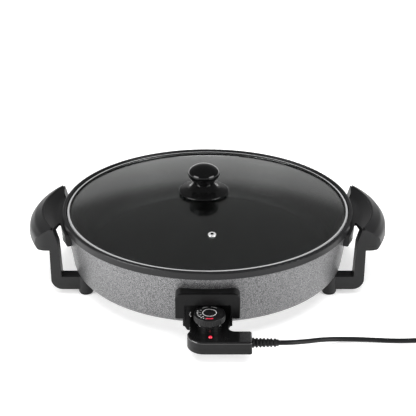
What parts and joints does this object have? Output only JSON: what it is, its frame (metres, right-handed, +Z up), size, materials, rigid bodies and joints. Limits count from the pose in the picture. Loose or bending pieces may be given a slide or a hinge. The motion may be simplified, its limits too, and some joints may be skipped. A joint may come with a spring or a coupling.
{
  "type": "electric party pan",
  "caption": "Round electric party pan with a domed glass lid, two standing side handles and a plug-in thermostat controller on a mains cord.",
  "frame": {"origin": "on the table under the middle of the footprint, measured without the cord", "axes": "+X to the right across the handles, +Y to the back away from the controller, +Z up"},
  "size_m": [0.6663, 0.471, 0.1692],
  "materials": {
    "nonstick": "satin black non-stick coating on cast aluminium",
    "hammertone": "grey hammertone paint",
    "zinc_sheet": "zinc-plated sheet",
    "cast_aluminium": "plain cast aluminium",
    "element_steel": "heat-darkened steel tube",
    "pin_steel": "turned stainless steel",
    "phenolic": "satin black phenolic moulding",
    "knob_gloss": "polished black phenolic",
    "screw_steel": "zinc-plated screws",
    "lid_glass": "clear tempered glass",
    "ring_steel": "polished stainless steel",
    "silicone": "soft black silicone",
    "case_gloss": "gloss black plastic",
    "case_satin": "satin dark plastic",
    "dial_black": "satin black plastic",
    "dial_print": "printed scale on black",
    "brass": "plain brass",
    "ceramic": "white steatite",
    "lamp_red": "clear red plastic",
    "neon_glass": "neon bulb",
    "rubber_black": "soft black plastic",
    "wire_jacket": "coloured wire jackets"
  },
  "bodies": {
    "pan": {"pan_bowl": "nonstick", "outer_shell": "hammertone", "bottom_cover": "zinc_sheet", "cover_screws": "screw_steel", "heating_element": "element_steel", "heat_spreader": "cast_aluminium", "heating_pins": "pin_steel", "probe_sleeve": "pin_steel", "inlet_socket": "phenolic", "front_guard": "phenolic", "guard_screws": "screw_steel", "handle_right": "phenolic", "handle_left": "phenolic", "handle_screws": "screw_steel", "foot_screws": "screw_steel", "foot_nuts": "screw_steel", "foot_pads": "rubber_black"},
    "lid": {"lid_glass": "lid_glass", "lid_ring": "ring_steel", "vent_eyelet": "ring_steel", "knob_gasket": "silicone", "under_gasket": "silicone", "knob_washer": "screw_steel", "knob_screw": "screw_steel", "knob_disc": "knob_gloss", "knob_head": "knob_gloss"},
    "controller": {"case_base": "case_satin", "case_top": "case_gloss", "case_screws": "screw_steel", "probe_rod": "pin_steel", "contact_left": "brass", "contact_right": "brass", "thermostat_frame": "zinc_sheet", "spindle_bush": "brass", "lower_spacer": "ceramic", "middle_spacer": "ceramic", "upper_spacer": "ceramic", "fixed_blade": "brass", "moving_blade": "brass", "lamp_lens": "lamp_red", "neon_lamp": "neon_glass", "cord_boot": "rubber_black", "sheath_end": "rubber_black", "cord_clamp": "case_satin", "wires": "wire_jacket", "cord_tube": "rubber_black", "cord_coil": "rubber_black", "cord_tie": "rubber_black", "cord_tail": "rubber_black", "plug_body": "rubber_black", "plug_pins": "pin_steel", "plug_earths": "pin_steel"},
    "dial": {"dial": "dial_black", "dial_scale": "dial_print", "spindle": "pin_steel"},
    "push_pin": {"push_pin": "ceramic"}
  },
  "joints": [
    {"name": "lid_lift", "type": "slide", "parent": "pan", "child": "lid", "axis": [0, 0, 1], "range_m": [0, 0.12]},
    {"name": "controller_pull", "type": "slide", "parent": "pan", "child": "controller", "axis": [0, -1, 0], "range_m": [0, 0.085]},
    {"name": "dial_turn", "type": "hinge", "parent": "controller", "child": "dial", "pos_m": [0.0025, -0.2005, 0.058], "axis": [0, 0, -1], "range_deg": [0, 300]},
    {"name": "push_pin_slide", "type": "slide", "parent": "controller", "child": "push_pin", "axis": [0, 0, -1], "range_m": [0, 0.0015]}
  ],
  "couplings": [
    {"joint": "push_pin_slide", "follows": "dial_turn", "m_per_rad": 0.000286}
  ]
}
